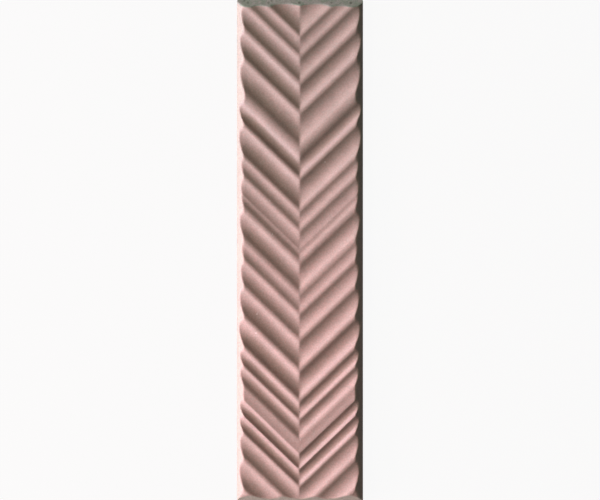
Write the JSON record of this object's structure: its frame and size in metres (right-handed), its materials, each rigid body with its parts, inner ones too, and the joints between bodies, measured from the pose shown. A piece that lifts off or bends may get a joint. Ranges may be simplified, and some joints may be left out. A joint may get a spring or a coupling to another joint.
{
  "type": "chevron wall tile",
  "caption": "Long ceramic wall tile with bevelled edges and a satin pink glazed face of uneven rounded flutes that meet in a chevron on the centre line.",
  "frame": {"origin": "middle of the flat back, the face that beds on the wall", "axes": "+X across the tile, +Y along it, from the foot of the chevrons' V to its open end, +Z out of the glazed face"},
  "size_m": [0.075, 0.3, 0.0099],
  "materials": {
    "satin_glaze": "satin dusty pink glaze over a pale fired body"
  },
  "bodies": {
    "root": {"chevron_tile": "satin_glaze"}
  },
  "joints": []
}
